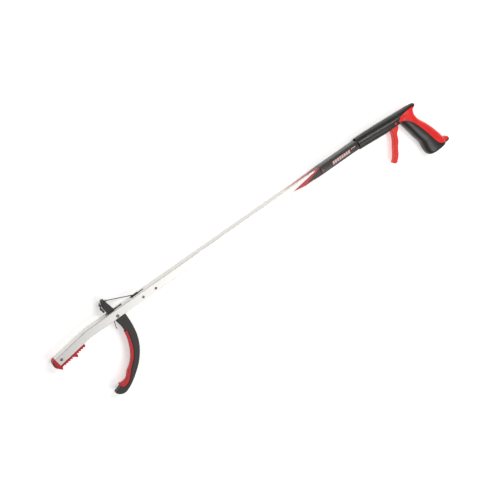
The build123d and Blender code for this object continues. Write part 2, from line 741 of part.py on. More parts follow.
with BuildPart() as shells:
    add(outer_form)
    add(covers.part, mode=Mode.SUBTRACT)
    add(grip_hollow.part, mode=Mode.SUBTRACT)
    with BuildSketch(Plane.YZ.offset(RIM_X)):
        Circle(MOUTH_R)
    extrude(amount=MOUTH_DEPTH, mode=Mode.SUBTRACT)
    with BuildSketch(Plane.YZ.offset(RIM_X)):
        RectangleRounded(TUBE_SIDE + 2 * SLIP, TUBE_SIDE + 2 * SLIP, TUBE_CORNER)
    extrude(amount=TUBE_REAR + 2.6 - RIM_X, mode=Mode.SUBTRACT)
    with BuildSketch():
        with BuildLine():
            Polyline(*cavity_outline, close=True)
        make_face()
    extrude(amount=MECHANISM_HALF, both=True, mode=Mode.SUBTRACT)
    with BuildSketch():
        with BuildLine():
            Polyline(*blade_slot_outline, close=True)
        make_face()
    extrude(amount=BLADE_SLOT_HALF, both=True, mode=Mode.SUBTRACT)
    with BuildSketch():
        with Locations((TRIGGER_X, TRIGGER_Y)):
            Circle(TRIGGER_PIN_R + RUNNING)
        with Locations(*SCREW_PLACES):
            Circle(SCREW_R + SLIP)
    extrude(amount=2 * GRIP_HALF, both=True, mode=Mode.SUBTRACT)
    with BuildSketch(Plane.XY.offset(screw_tip)):
        with Locations(*SCREW_PLACES):
            Circle(SCREW_R * 3)
    extrude(amount=GRIP_HALF, mode=Mode.ADD)
    add(outer_form, mode=Mode.INTERSECT)
    add(covers.part, mode=Mode.SUBTRACT)
    with BuildSketch(Plane.XY.offset(screw_seat)):
        with Locations(*SCREW_PLACES):
            Circle(SCREW_HEAD_R + SLIP)
    extrude(amount=-GRIP_HALF, mode=Mode.SUBTRACT)
    with BuildSketch():
        with Locations((TUBE_PIN_X, TUBE_PIN_Y)):
            Circle(TUBE_PIN_R + SLIP)
        with Locations((ROLLER_X, roller_y)):
            Circle(PULLEY_PIN_R + SLIP)
    extrude(amount=TUBE_PIN_HALF + SLIP, both=True, mode=Mode.SUBTRACT)
    with BuildSketch():
        with Locations((CABLE_POST_X, CABLE_POST_Y)):
            Circle(PULLEY_PIN_R + SLIP)
    extrude(amount=CABLE_POST_HALF + SLIP, both=True, mode=Mode.SUBTRACT)

for side, keep_side in (("left", Keep.TOP), ("right", Keep.BOTTOM)):
    with BuildPart() as handle_shell:
        add(shells.part)
        split(bisect_by=Plane.XY, keep=keep_side)
    keep("handle_" + side, handle_shell)

with BuildPart() as handle_screws:
    with BuildSketch(Plane.XY.offset(screw_seat - SLIP)):
        with Locations(*SCREW_PLACES):
            Circle(SCREW_HEAD_R)
    extrude(amount=-SCREW_HEAD_H)
    with BuildSketch(Plane.XY.offset(screw_seat - SLIP)):
        with Locations(*SCREW_PLACES):
            Circle(SCREW_R)
    extrude(amount=screw_tip - screw_seat - 0.5)
    with BuildSketch(Plane.XY.offset(screw_seat - SLIP - SCREW_HEAD_H)):
        with Locations(*SCREW_PLACES):
            Rectangle(SCREW_HEAD_R * 1.3, SCREW_R / 2)
            Rectangle(SCREW_R / 2, SCREW_HEAD_R * 1.3)
    extrude(amount=SCREW_HEAD_H / 2, mode=Mode.SUBTRACT)
keep("handle_screws", handle_screws)

# ---- trigger: finger blade, hub and forked arm in one moulding ---------------------------------
blade_rear = (
    (752.6, -12.0),
    (750.6, -21.0),
    (745.0, -27.0),
    (741.6, -38.5),
    (735.0, -50.0),
    (729.8, -62.0),
    (722.6, -71.5),
)
blade_front = (
    (712.6, -69.6),
    (720.4, -60.4),
    (726.4, -47.5),
    (732.6, -35.0),
    (735.6, -25.0),
    (736.4, -14.0),
)
with BuildPart() as trigger:
    with BuildSketch():
        with BuildLine():
            Spline(*blade_rear)
            ThreePointArc(blade_rear[-1], (714.6, -74.4), blade_front[0])
            Spline(*blade_front)
            Line(blade_front[-1], blade_rear[0])
        make_face()
    extrude(amount=TRIGGER_WIDTH / 2, both=True)
    fillet(trigger.faces().filter_by(Axis.Z).edges(), TRIGGER_FILLET)
    with BuildSketch():
        with Locations((TRIGGER_X, TRIGGER_Y)):
            Circle(TRIGGER_HUB_R)
        with BuildLine():
            Polyline(
                (TRIGGER_X - TRIGGER_HUB_R, TRIGGER_Y),
                (738.4, -18.0),
                (750.0, -18.0),
                (TRIGGER_X + TRIGGER_HUB_R, TRIGGER_Y),
                close=True,
            )
        make_face()
        with Locations(((TRIGGER_X + pulley_x) / 2, (TRIGGER_Y + pulley_y) / 2)):
            SlotCenterToCenter(ARM_LENGTH, ARM_WIDTH, rotation=ARM_ANGLE)
    extrude(amount=ARM_THICKNESS / 2, both=True)
    with BuildSketch(ARM_PLANE):
        with Locations((ARM_LENGTH, 0)):
            Rectangle(2 * (ARM_LENGTH - TRIGGER_HUB_R - 2.0), 3 * ARM_WIDTH)
    extrude(amount=FORK_GAP / 2, both=True, mode=Mode.SUBTRACT)
    with BuildSketch():
        with Locations((TRIGGER_X, TRIGGER_Y)):
            Circle(TRIGGER_PIN_R + RUNNING)
        with Locations((pulley_x, pulley_y)):
            Circle(PULLEY_PIN_R + SLIP)
    extrude(amount=TRIGGER_WIDTH, both=True, mode=Mode.SUBTRACT)
keep("trigger", trigger)

cross_pin(
    "trigger_pivot", Plane.XY, TRIGGER_X, TRIGGER_Y, TRIGGER_PIN_R, -TRIGGER_PIN_HALF, TRIGGER_PIN_HALF
)
cross_pin("pulley_pin", Plane.XY, pulley_x, pulley_y, PULLEY_PIN_R, -ARM_THICKNESS / 2, ARM_THICKNESS / 2)
cross_pin("roller_pin", Plane.XY, ROLLER_X, roller_y, PULLEY_PIN_R, -TUBE_PIN_HALF, TUBE_PIN_HALF)
cross_pin(
    "cable_post", Plane.XY, CABLE_POST_X, CABLE_POST_Y, PULLEY_PIN_R, -CABLE_POST_HALF, CABLE_POST_HALF
)


def grooved_wheel(name, x, y):
    """A small cable wheel with a round groove and a bore that runs on its pin."""
    groove_depth = PULLEY_R - PULLEY_GROOVE_R
    half = PULLEY_WIDTH / 2
    with BuildPart() as wheel:
        with BuildSketch(Plane(origin=(x, y, 0), x_dir=(1, 0, 0), z_dir=(0, -1, 0))):
            with BuildLine():
                Polyline(
                    (PULLEY_PIN_R + RUNNING, -half),
                    (PULLEY_R, -half),
                    (PULLEY_R, -groove_depth - 0.2),
                    (PULLEY_GROOVE_R - SLIP, -CABLE_R),
                    (PULLEY_GROOVE_R - SLIP, CABLE_R),
                    (PULLEY_R, groove_depth + 0.2),
                    (PULLEY_R, half),
                    (PULLEY_PIN_R + RUNNING, half),
                    close=True,
                )
            make_face()
        revolve(axis=Axis((x, y, 0), (0, 0, 1)))
    keep(name, wheel)


grooved_wheel("cable_pulley", pulley_x, pulley_y)
grooved_wheel("cable_roller", ROLLER_X, roller_y)

# ---- lay the tool on its right side and write the pieces ---------------------------------------
os.makedirs("parts", exist_ok=True)
boxes = [piece.bounding_box() for piece in pieces.values()]
lay_down = Location(
    (
        -(min(b.min.X for b in boxes) + max(b.max.X for b in boxes)) / 2,
        -(min(b.min.Y for b in boxes) + max(b.max.Y for b in boxes)) / 2,
        -min(b.min.Z for b in boxes),
    )
)
for name, piece in pieces.items():
    piece.locate(lay_down * piece.location)
    export_step(piece, "parts/" + name + ".step")
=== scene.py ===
import math

import bmesh
import bpy
from mathutils import Matrix, Vector


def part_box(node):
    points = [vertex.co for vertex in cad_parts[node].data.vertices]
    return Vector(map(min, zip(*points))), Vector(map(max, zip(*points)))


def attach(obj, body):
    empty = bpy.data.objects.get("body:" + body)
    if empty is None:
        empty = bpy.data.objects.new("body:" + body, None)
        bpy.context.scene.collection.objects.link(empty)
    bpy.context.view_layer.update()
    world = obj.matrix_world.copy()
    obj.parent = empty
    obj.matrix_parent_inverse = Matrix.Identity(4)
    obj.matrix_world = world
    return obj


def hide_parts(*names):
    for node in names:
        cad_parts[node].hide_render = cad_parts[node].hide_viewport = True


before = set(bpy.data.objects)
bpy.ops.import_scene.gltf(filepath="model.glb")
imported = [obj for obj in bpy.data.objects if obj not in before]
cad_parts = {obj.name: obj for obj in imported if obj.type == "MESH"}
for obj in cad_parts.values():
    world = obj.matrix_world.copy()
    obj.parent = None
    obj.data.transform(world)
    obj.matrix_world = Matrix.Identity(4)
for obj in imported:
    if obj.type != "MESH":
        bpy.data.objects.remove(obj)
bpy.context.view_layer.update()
MM = 0.001

# Tool coordinates, as in the CAD: x from the fixed tip along the tube, y towards the cable lever,
# z out of the left side, all in millimetres. The jaw's pivot fixes where they lie in the frame.
PIVOT = (133.3, -3.3)
low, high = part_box("jaw_pivot")
ORIGIN = (low + high) / 2 - Vector((PIVOT[0], PIVOT[1], 0)) * MM
HALF_TUBE = 7.75
TUBE_CORNER = 1.5


def at(x, y, z=0.0):
    """A point given in tool coordinates, in the frame."""
    return ORIGIN + Vector((x, y, z)) * MM


# ---- curves and meshes ---------------------------------------------------------------------------
def catmull_rom(p, q, r, s, t):
    """The value at t between q and r, with p before them and s after."""
    square = (2 * p - 5 * q + 4 * r - s) * t**2
    cube = (3 * q - p - 3 * r + s) * t**3
    return 0.5 * (2 * q + (r - p) * t + square + cube)


def smooth_line(points, steps):
    """Catmull-Rom curve through points of any dimension, with steps pieces between two points."""
    line = []
    for i in range(len(points) - 1):
        a, b = points[i], points[i + 1]
        before = points[i - 1] if i else [2 * p - q for p, q in zip(a, b)]
        after = points[i + 2] if i + 2 < len(points) else [2 * q - p for p, q in zip(a, b)]
        for k in range(steps):
            t = k / steps
            line.append(tuple(catmull_rom(*four, t) for four in zip(before, a, b, after)))
    line.append(tuple(points[-1]))
    return line


def new_object(name, verts, faces):
    mesh = bpy.data.meshes.new(name)
    mesh.from_pydata([tuple(v) for v in verts], [], faces)
    obj = bpy.data.objects.new(name, mesh)
    bpy.context.scene.collection.objects.link(obj)
    tidy_normals(mesh)
    return obj


def tidy_normals(mesh):
    bm = bmesh.new()
    bm.from_mesh(mesh)
    bmesh.ops.recalc_face_normals(bm, faces=bm.faces)
    bm.to_mesh(mesh)
    bm.free()


def ring_solid(name, rings):
    """A closed solid through rings of equal point counts."""
    count = len(rings[0])
    verts = [p for ring in rings for p in ring]
    faces = []
    for i in range(len(rings) - 1):
        for k in range(count):
            j = (k + 1) % count
            faces.append((i * count + k, i * count + j, (i + 1) * count + j, (i + 1) * count + k))
    faces.append(tuple(range(count)))
    faces.append(tuple(range((len(rings) - 1) * count, len(rings) * count)))
    return new_object(name, verts, faces)


def prism(name, outline, z_low, z_high):
    """A straight solid between two heights over an outline in tool coordinates."""
    return ring_solid(name, [[at(x, y, z) for x, y in outline] for z in (z_low, z_high)])


def turned(name, centre, profile, count=48):
    """A solid of revolution about z through centre. profile is (radius, z) from bottom to top."""
    rings = []
    for radius, z in profile:
        ring = []
        for k in range(count):
            turn = 2 * math.pi * k / count
            ring.append(at(centre[0] + radius * math.cos(turn), centre[1] + radius * math.sin(turn), z))
        rings.append(ring)
    return ring_solid(name, rings)


def ball(name, centre, radius):
    """A closed ball of rings about z, for joining into a larger form."""
    steps = 16
    profile = []
    for i in range(1, steps):
        lift = math.pi * i / steps
        profile.append((radius * math.sin(lift), -radius * math.cos(lift)))
    return turned(name, centre, profile, 32)


def join(name, objects):
    """One object that holds the meshes of several, which are then gone."""
    bm = bmesh.new()
    for obj in objects:
        bm.from_mesh(obj.data)
        bpy.data.objects.remove(obj)
    mesh = bpy.data.meshes.new(name)
    bm.to_mesh(mesh)
    bm.free()
    obj = bpy.data.objects.new(name, mesh)
    bpy.context.scene.collection.objects.link(obj)
    return obj


def settle(obj):
    """Applies an object's modifiers to its mesh."""
    graph = bpy.context.evaluated_depsgraph_get()
    graph.update()
    mesh = bpy.data.meshes.new_from_object(obj.evaluated_get(graph))
    obj.modifiers.clear()
    obj.data = mesh
    return obj


def copy_of(node, name):
    """A mesh of its own, joined up where the node's faces meet, with the shape of a CAD node."""
    obj = bpy.data.objects.new(name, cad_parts[node].data.copy())
    obj.data.materials.clear()
    bpy.context.scene.collection.objects.link(obj)
    bm = bmesh.new()
    bm.from_mesh(obj.data)
    bmesh.ops.remove_doubles(bm, verts=bm.verts, dist=0.005 * MM)
    bm.to_mesh(obj.data)
    bm.free()
    return obj


def moulded(obj, voxel, rounds, strength=0.5):
    """Joins a form into one skin and eases its edges, as a moulding's are."""
    skin = obj.modifiers.new("skin", "REMESH")
    skin.mode = "VOXEL"
    skin.voxel_size = 1.0 * voxel * MM
    ease = obj.modifiers.new("ease", "SMOOTH")
    ease.factor = strength
    ease.iterations = rounds
    return settle(obj)


def cut(obj, tool, operation="DIFFERENCE"):
    """Boolean of obj with tool."""
    change = obj.modifiers.new("cut", "BOOLEAN")
    change.operation = operation
    change.solver = "EXACT"
    change.use_self = True
    change.object = tool
    return settle(obj)


def half_of(obj, name, sign):
    """What lies on one side of the plane of symmetry, closed, a hair away from it."""
    bm = bmesh.new()
    bm.from_mesh(obj.data)
    bmesh.ops.bisect_plane(
        bm,
        geom=bm.verts[:] + bm.edges[:] + bm.faces[:],
        plane_co=at(0, 0, sign * 0.12),
        plane_no=(0, 0, sign),
        clear_inner=True,
    )
    bmesh.ops.holes_fill(bm, edges=[e for e in bm.edges if e.is_boundary])
    mesh = bpy.data.meshes.new(name)
    bm.to_mesh(mesh)
    bm.free()
    half = bpy.data.objects.new(name, mesh)
    bpy.context.scene.collection.objects.link(half)
    return half


def shade(obj, angle=38):
    obj.data.shade_smooth()
    obj.data.set_sharp_from_angle(angle=math.radians(angle))
    return obj


# ---- materials -----------------------------------------------------------------------------------
def material(name, colour, roughness, metallic=0.0, vary=0.12, patch=60.0, grain=1500.0, bump=0.06,
             depth=0.1, stretch=(1, 1, 1), coat=0.0, specular=0.5, worn=None, rough_vary=0.12):
    """Base colour with patches, roughness that wanders, and a fine grain in the bump."""
    mat = bpy.data.materials.new(name)
    mat.use_nodes = True
    nodes, links = mat.node_tree.nodes, mat.node_tree.links
    shader = nodes["Principled BSDF"]
    shader.inputs["Metallic"].default_value = metallic
    shader.inputs["Coat Weight"].default_value = coat
    shader.inputs["Coat Roughness"].default_value = 0.18
    shader.inputs["Specular IOR Level"].default_value = specular
    place = nodes.new("ShaderNodeTexCoord")
    spread = nodes.new("ShaderNodeMapping")
    spread.inputs["Scale"].default_value = stretch
    links.new(place.outputs["Object"], spread.inputs["Vector"])

    def noise(scale, detail):
        tex = nodes.new("ShaderNodeTexNoise")
        tex.inputs["Scale"].default_value = scale
        tex.inputs["Detail"].default_value = detail
        links.new(spread.outputs["Vector"], tex.inputs["Vector"])
        return tex.outputs["Fac"]

    patches = noise(patch, 4)
    fine = noise(grain, 3)
    ramp = nodes.new("ShaderNodeValToRGB")
    ramp.color_ramp.elements[0].position = 0.3
    ramp.color_ramp.elements[1].position = 0.7
    ramp.color_ramp.elements[0].color = [c * (1 - vary) for c in colour] + [1]
    ramp.color_ramp.elements[1].color = [min(1, c * (1 + vary)) for c in colour] + [1]
    links.new(patches, ramp.inputs["Fac"])
    tone = ramp.outputs["Color"]
    if worn:
        edge = nodes.new("ShaderNodeNewGeometry")
        keep = nodes.new("ShaderNodeMapRange")
        keep.inputs["From Min"].default_value = 0.52
        keep.inputs["From Max"].default_value = 0.62
        keep.inputs["To Max"].default_value = 0.55
        links.new(edge.outputs["Pointiness"], keep.inputs["Value"])
        blend = nodes.new("ShaderNodeMix")
        blend.data_type = "RGBA"
        blend.inputs["B"].default_value = (*worn, 1)
        links.new(keep.outputs["Result"], blend.inputs["Factor"])
        links.new(tone, blend.inputs["A"])
        tone = blend.outputs["Result"]
    links.new(tone, shader.inputs["Base Color"])
    rough = nodes.new("ShaderNodeMapRange")
    rough.inputs["From Min"].default_value = 0.3
    rough.inputs["From Max"].default_value = 0.7
    rough.inputs["To Min"].default_value = max(0.03, roughness * (1 - rough_vary))
    rough.inputs["To Max"].default_value = min(1, roughness * (1 + rough_vary))
    links.new(patches, rough.inputs["Value"])
    links.new(rough.outputs["Result"], shader.inputs["Roughness"])
    relief = nodes.new("ShaderNodeBump")
    relief.inputs["Strength"].default_value = bump
    relief.inputs["Distance"].default_value = depth * MM
    links.new(fine, relief.inputs["Height"])
    links.new(relief.outputs["Normal"], shader.inputs["Normal"])
    return mat


aluminium = material("brushed_aluminium", (0.74, 0.725, 0.70), 0.34, metallic=0.9, vary=0.03, patch=25,
                     grain=1400, bump=0.10, depth=0.05, stretch=(0.04, 1, 1), rough_vary=0.18)
tip_red = material("tip_rubber", (0.54, 0.006, 0.014), 0.48, vary=0.12, patch=90, grain=2200, bump=0.12)
rivet_steel = material("rivet_steel", (0.26, 0.25, 0.235), 0.34, metallic=1.0, vary=0.2, patch=600, bump=0.08)
jaw_black = material("jaw_plastic", (0.024, 0.020, 0.018), 0.44, vary=0.18, patch=70, grain=1800, bump=0.22,
                     depth=0.08, worn=(0.09, 0.085, 0.08))
pad_red = material("pad_rubber", (0.56, 0.014, 0.020), 0.50, vary=0.14, patch=120, grain=2200, bump=0.12,
                   worn=(0.62, 0.06, 0.06))
cable_dark = material("cable_wire", (0.16, 0.155, 0.15), 0.36, metallic=1.0, vary=0.25, patch=900, bump=0.1)
guide_black = material("guide_plastic", (0.035, 0.031, 0.029), 0.45, vary=0.15, grain=1500, bump=0.15)
print_red = material("label_red", (0.50, 0.022, 0.030), 0.30, vary=0.05, patch=40, bump=0.03, coat=0.3)
print_black = material("label_black", (0.024, 0.021, 0.020), 0.30, vary=0.08, patch=40, bump=0.03, coat=0.3)
print_pale = material("label_pale", (0.72, 0.47, 0.43), 0.34, vary=0.05, patch=200, bump=0.03)
grip_black = material("grip_plastic", (0.017, 0.0145, 0.0135), 0.32, vary=0.16, patch=60, grain=1700,
                      bump=0.25, depth=0.09, worn=(0.06, 0.056, 0.053))
cover_red = material("cover_rubber", (0.84, 0.020, 0.016), 0.34, vary=0.08, patch=50, grain=1500, bump=0.16,
                     depth=0.08)
trigger_red = material("trigger_plastic", (0.86, 0.020, 0.012), 0.36, vary=0.06, patch=60, grain=1600,
                       bump=0.10, coat=0.15)
nylon = material("wheel_nylon", (0.74, 0.72, 0.66), 0.42, vary=0.06, patch=300, bump=0.08)


def darken_front(mat, front, depth, colour):
    """Another colour ahead of a plane across X, for the dark front face of the tip's cap."""
    nodes, links = mat.node_tree.nodes, mat.node_tree.links
    base = nodes["Principled BSDF"].inputs["Base Color"]
    tone = base.links[0].from_socket
    place = nodes.new("ShaderNodeTexCoord")
    parts = nodes.new("ShaderNodeSeparateXYZ")
    reach = nodes.new("ShaderNodeMapRange")
    reach.inputs["From Min"].default_value = front + (depth - 0.4) * MM
    reach.inputs["From Max"].default_value = front + (depth + 0.4) * MM
    blend = nodes.new("ShaderNodeMix")
    blend.data_type = "RGBA"
    blend.inputs["A"].default_value = (*colour, 1)
    links.new(place.outputs["Object"], parts.inputs["Vector"])
    links.new(parts.outputs["X"], reach.inputs["Value"])
    links.new(reach.outputs["Result"], blend.inputs["Factor"])
    links.new(tone, blend.inputs["B"])
    links.new(blend.outputs["Result"], base)


TIP_DARK_DEPTH = 3.4
darken_front(tip_red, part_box("tip_insert")[0].x, TIP_DARK_DEPTH, (0.075, 0.026, 0.020))


def dress(obj, mat, body, slot, *nodes):
    """Finishes a piece: its material, the body it rides on and the CAD nodes it stands for. The slot is not
    used.
    """
    obj.data.materials.clear()
    obj.data.materials.append(mat)
    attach(obj, body)
    if nodes:
        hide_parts(*nodes)
    return obj


# CAD nodes that stay as they are
for mat, names in (
    (aluminium, ("tube",)),
    (rivet_steel, ("tube_pin", "handle_screws", "roller_pin", "cable_post", "pulley_pin")),
    (cable_dark, ("cable_entry", "inner_cable", "handle_cable", "return_spring", "spring_leg")),
    (nylon, ("cable_pulley", "cable_roller")),
    (print_red, ("label_sleeve",)),
):
    for name in names:
        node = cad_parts[name]
        node.data.materials.clear()
        node.data.materials.append(mat)

# ---- mouldings at the front ------------------------------------------------------------------------
for node, voxel, rounds, mat, body, slot in (
    ("jaw", 0.55, 7, jaw_black, "jaw", "jaw_black"),
    ("jaw_pad", 0.30, 3, pad_red, "jaw", "pad_red"),
    ("lever_clip", 0.22, 4, jaw_black, "jaw", "jaw_black"),
    ("tip_insert", 0.32, 3, tip_red, "frame", "tip_red"),
    ("cable_guide", 0.30, 3, guide_black, "frame", "guide_black"),
    ("trigger", 0.50, 10, trigger_red, "trigger", "trigger_red"),
):
    piece = moulded(copy_of(node, node + "_moulding"), voxel, rounds)
    dress(shade(piece, 60), mat, body, slot, node)

# rivets with a rolled rim and a dimple
RIVETS = (
    ("tip_rivet", 2.6, "frame"),
    ("jaw_pivot", 3.0, "frame"),
    ("guide_rivet_front", 2.4, "frame"),
    ("guide_rivet_rear", 2.4, "frame"),
    ("cable_anchor_pin", 1.3, "jaw"),
)
for node, radius, body in RIVETS:
    low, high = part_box(node)
    middle = ((low + high) / 2 - ORIGIN) / MM
    half = (high.z - low.z) / 2 / MM
    end = (
        (radius - 0.25, half - 0.15),
        (radius - 0.6, half),
        (radius * 0.55, half - 0.05),
        (radius * 0.42, half - 0.7),
        (radius * 0.2, half - 0.95),
    )
    profile = [(r, -z) for r, z in reversed(end)] + [(radius, -half + 0.4), (radius, half - 0.4)] + list(end)
    rivet = turned(node + "_turned", (middle.x, middle.y), profile)
    dress(shade(rivet, 50), rivet_steel, body, "rivet_steel", node)


# ---- pull cable outside the tube: twisted strands ---------------------------------------------------
ANCHOR = (125.6, 31.6)
SPAN_END = (177.6, 7.8)
ROPE_R = 0.9
ROPE_STEP = 0.45
FERRULE_POINTS = 24


def rope(name, start, end, radius, strands=6, lay=7.0):
    """Twisted strands along a straight line, as one lobed and turning section."""
    run = end - start
    length = run.length / MM
    ahead = run.normalized()
    side = ahead.cross(Vector((0, 0, 1))).normalized()
    up = side.cross(ahead)
    steps = int(length / ROPE_STEP)
    count = strands * 6
    rings = []
    for i in range(steps + 1):
        middle = start.lerp(end, i / steps)
        twist = 2 * math.pi * (i / steps) * length / lay
        ring = []
        for k in range(count):
            turn = 2 * math.pi * k / count
            reach = radius * (0.80 + 0.20 * abs(math.cos(strands * turn / 2))) * MM
            ring.append(middle + (side * math.cos(turn + twist) + up * math.sin(turn + twist)) * reach)
        rings.append(ring)
    return ring_solid(name, rings)


toward = Vector((SPAN_END[0] - ANCHOR[0], SPAN_END[1] - ANCHOR[1], 0)).normalized()
start = at(*ANCHOR) + toward * 2.2 * MM
strand = rope("cable_strands", start, at(*SPAN_END), ROPE_R)
ferrule_rings = []
for offset, radius in ((0.0, 1.15), (0.3, 1.45), (5.2, 1.45), (5.6, 1.1)):
    middle = start + toward * (offset + 0.8) * MM
    across = toward.cross(Vector((0, 0, 1)))
    ring = []
    for k in range(FERRULE_POINTS):
        turn = 2 * math.pi * k / FERRULE_POINTS
        ring.append(middle + (across * math.cos(turn) + Vector((0, 0, 1)) * math.sin(turn)) * radius * MM)
    ferrule_rings.append(ring)
ferrule = ring_solid("cable_ferrule", ferrule_rings)
eye = turned("cable_eye", ANCHOR, [(1.4, -1.0), (2.7, -1.2), (3.0, -0.9), (3.0, 0.9), (2.7, 1.2), (1.4, 1.0)])
bm = bmesh.new()
bm.from_mesh(eye.data)
caps = [f for f in bm.faces if len(f.verts) > 4]
bmesh.ops.bridge_loops(bm, edges=list({e for f in caps for e in f.edges}))
bmesh.ops.delete(bm, geom=[f for f in bm.faces if len(f.verts) > 4], context="FACES_ONLY")
bm.to_mesh(eye.data)
bm.free()
tidy_normals(eye.data)
dress(shade(strand, 70), cable_dark, "cable_span", "cable_steel", "cable_span")
dress(shade(ferrule), rivet_steel, "cable_span", "cable_steel")
dress(shade(eye), rivet_steel, "cable_span", "cable_steel")

# ---- printed label: black field on the red, with generic bars ---------------------------------------
LABEL = HALF_TUBE + 0.2
FILM = 0.03
REAR = 666.5
BAR_COUNT, BAR_PITCH = 8, 5.1
DASH_COUNT, DASH_PITCH = 3, 3.4


def film(name, outline, side, mat, lift=0.0):
    """A thin closed patch on the left (side 1) or right (side -1) face of the tube."""
    faces = sorted((side * (LABEL + lift), side * (LABEL + lift + FILM)))
    patch = prism(name, outline, *faces)
    return dress(patch, mat, "frame", "label_print")


def square_ring(x, half, corner, count=6):
    """A rounded square across the tube at x."""
    ring = []
    for cx, cy, first in ((1, 1, 0), (-1, 1, 90), (-1, -1, 180), (1, -1, 270)):
        for k in range(count + 1):
            turn = math.radians(first + 90 * k / count)
            y = cx * (half - corner) + corner * math.cos(turn)
            z = cy * (half - corner) + corner * math.sin(turn)
            ring.append(at(x, y, z))
    return ring


def band(name, x_low, x_high, half_in, half_out, corner):
    """A closed sleeve round the square tube."""
    rings = [square_ring(x, half, corner) for x, half in (
        (x_low, half_in), (x_low, half_out), (x_high, half_out), (x_high, half_in))]
    count = len(rings[0])
    verts = [p for ring in rings for p in ring]
    faces = []
    for i in range(4):
        for k in range(count):
            j = (k + 1) % count
            n = (i + 1) % 4
            faces.append((i * count + k, i * count + j, n * count + j, n * count + k))
    return new_object(name, verts, faces)


label_field = band("label_field", 576.0, REAR, LABEL, LABEL + FILM, TUBE_CORNER)
dress(shade(label_field, 10), print_black, "frame", "label_print")
MARK_RADII = (3, 1.3) * 4
mark_outline = []
for k, r in enumerate(MARK_RADII):
    mark_outline.append((581 + r * math.cos(math.pi * k / 4), -1 + r * math.sin(math.pi * k / 4)))
for side, tag in ((1, "left"), (-1, "right")):
    film("label_spear_" + tag, ((544, -3.4), (577, 6.6), (577, -6.6), (559, -6.6)), side, print_black)
    film("label_mark_" + tag, mark_outline, side, print_red, FILM)
    for i in range(BAR_COUNT):
        x, y = 603 + BAR_PITCH * i, -0.4
        bar = ((x, y - 3), (x + 4.2, y - 3), (x + 5.4, y + 2.6), (x + 1.2, y + 2.6))
        film(f"label_bar_{tag}_{i}", bar, side, print_pale, FILM)
    for i in range(DASH_COUNT):
        x, y = 647 + DASH_PITCH * i, 1.4
        dash = ((x, y - 1), (x + 2.6, y - 1), (x + 3.0, y + 0.8), (x + 0.4, y + 0.8))
        film(f"label_dash_{tag}_{i}", dash, side, print_pale, FILM)
for face, tag in ((1, "top"), (-1, "under")):
    heights = sorted((face * LABEL, face * (LABEL + FILM)))
    outline = ((548, 0), (577, 6.6), (577, -6.6))
    patch = ring_solid("label_wedge_" + tag, [[at(x, y, z) for x, z in outline] for y in heights])
    dress(patch, print_black, "frame", "label_print")

# ---- handle ------------------------------------------------------------------------------------------
BARREL = (
    # x, y, half height, half width
    (664.0, 0.0, 11.5, 11.6),
    (690.0, -1.1, 12.1, 12.2),
    (715.0, -2.6, 12.3, 12.8),
    (740.0, -3.8, 12.0, 13.0),
    (762.0, -4.2, 11.0, 12.4),
    (780.0, -2.6, 8.6, 10.4),
    (793.0, -0.8, 5.9, 7.6),
    (799.5, 0.0, 4.2, 5.4),
    (802.6, 0.3, 2.2, 3.0),
)
GRIP = (
    # front x, front y, back x, back y, half width
    (752.0, 2.0, 793.0, 1.5, 10.8),
    (757.0, -9.0, 794.6, -4.0, 12.0),
    (762.5, -22.0, 792.4, -13.0, 13.0),
    (768.4, -37.0, 796.0, -26.5, 13.4),
    (774.6, -55.0, 806.4, -41.5, 13.5),
    (778.8, -65.0, 812.4, -51.5, 13.5),
    (780.8, -70.5, 816.0, -58.0, 13.4),
    (781.4, -79.0, 820.0, -66.5, 13.4),
    (782.0, -88.0, 825.0, -77.5, 13.2),
    (784.4, -97.0, 829.0, -90.0, 13.0),
    (789.0, -102.0, 828.0, -100.4, 11.5),
)
HEEL = ((817.0, -90.0, 9.4), (824.0, -92.4, 8.6), (829.5, -94.0, 7.2), (834.2, -95.6, 5.7))
RING_POINTS = 56


def oval(centre, along, half_along, half_width, power):
    """A ring of points: along is the direction in the side view, the width is in z."""
    ring = []
    for k in range(RING_POINTS):
        turn = 2 * math.pi * k / RING_POINTS
        c, s = math.cos(turn), math.sin(turn)
        u = half_along * math.copysign(abs(c) ** (2 / power), c)
        w = half_width * math.copysign(abs(s) ** (2 / power), s)
        ring.append(at(centre[0] + along[0] * u, centre[1] + along[1] * u, w))
    return ring


barrel_rings = [oval((x, y), (0, 1), h, w, 2.2) for x, y, h, w in smooth_line(BARREL, 6)]
grip_rings = []
for fx, fy, bx, by, w in smooth_line(GRIP, 6):
    depth = math.hypot(bx - fx, by - fy)
    direction = ((bx - fx) / depth, (by - fy) / depth)
    grip_rings.append(oval(((fx + bx) / 2, (fy + by) / 2), direction, depth / 2, w, 2.5))
parts = [ring_solid("barrel_form", barrel_rings), ring_solid("grip_form", grip_rings)]
parts += [ball("heel_form", (x, y), r) for x, y, r in HEEL]
form = moulded(join("handle_form", parts), 0.8, 14)

CAVITY = (
    (705.0, 7.2), (724.0, 7.5), (757.0, 4.6), (758.6, -12.0), (734.0, -13.1), (716.5, -13.1), (705.0, -11.0),
)
BLADE_SLOT = ((733.0, -11.0), (742.0, -11.0), (748.0, -5.5), (758.6, -5.5), (758.6, -26.0), (733.0, -26.0))
SCREWS = ((766.5, -19.5), (785.0, -48.0), (801.0, -89.0))
CAVITY_HALF, SLOT_HALF = 5.2, 6.6
TRIGGER_PIVOT = (746.9, -6.6)
cutters = [
    prism("cavity", CAVITY, -CAVITY_HALF, CAVITY_HALF),
    prism("blade_slot", BLADE_SLOT, -SLOT_HALF, SLOT_HALF),
]
cutters.append(
    ring_solid("bore", [square_ring(x, HALF_TUBE + 0.05, TUBE_CORNER) for x in (650.0, 706.6)])
)
mouth = []
for x, r in ((660.0, 10.9), (666.2, 10.9), (667.2, 10.2)):
    mouth.append([at(x, r * math.cos(math.pi * k / 32), r * math.sin(math.pi * k / 32)) for k in range(64)])
cutters.append(ring_solid("mouth", mouth))
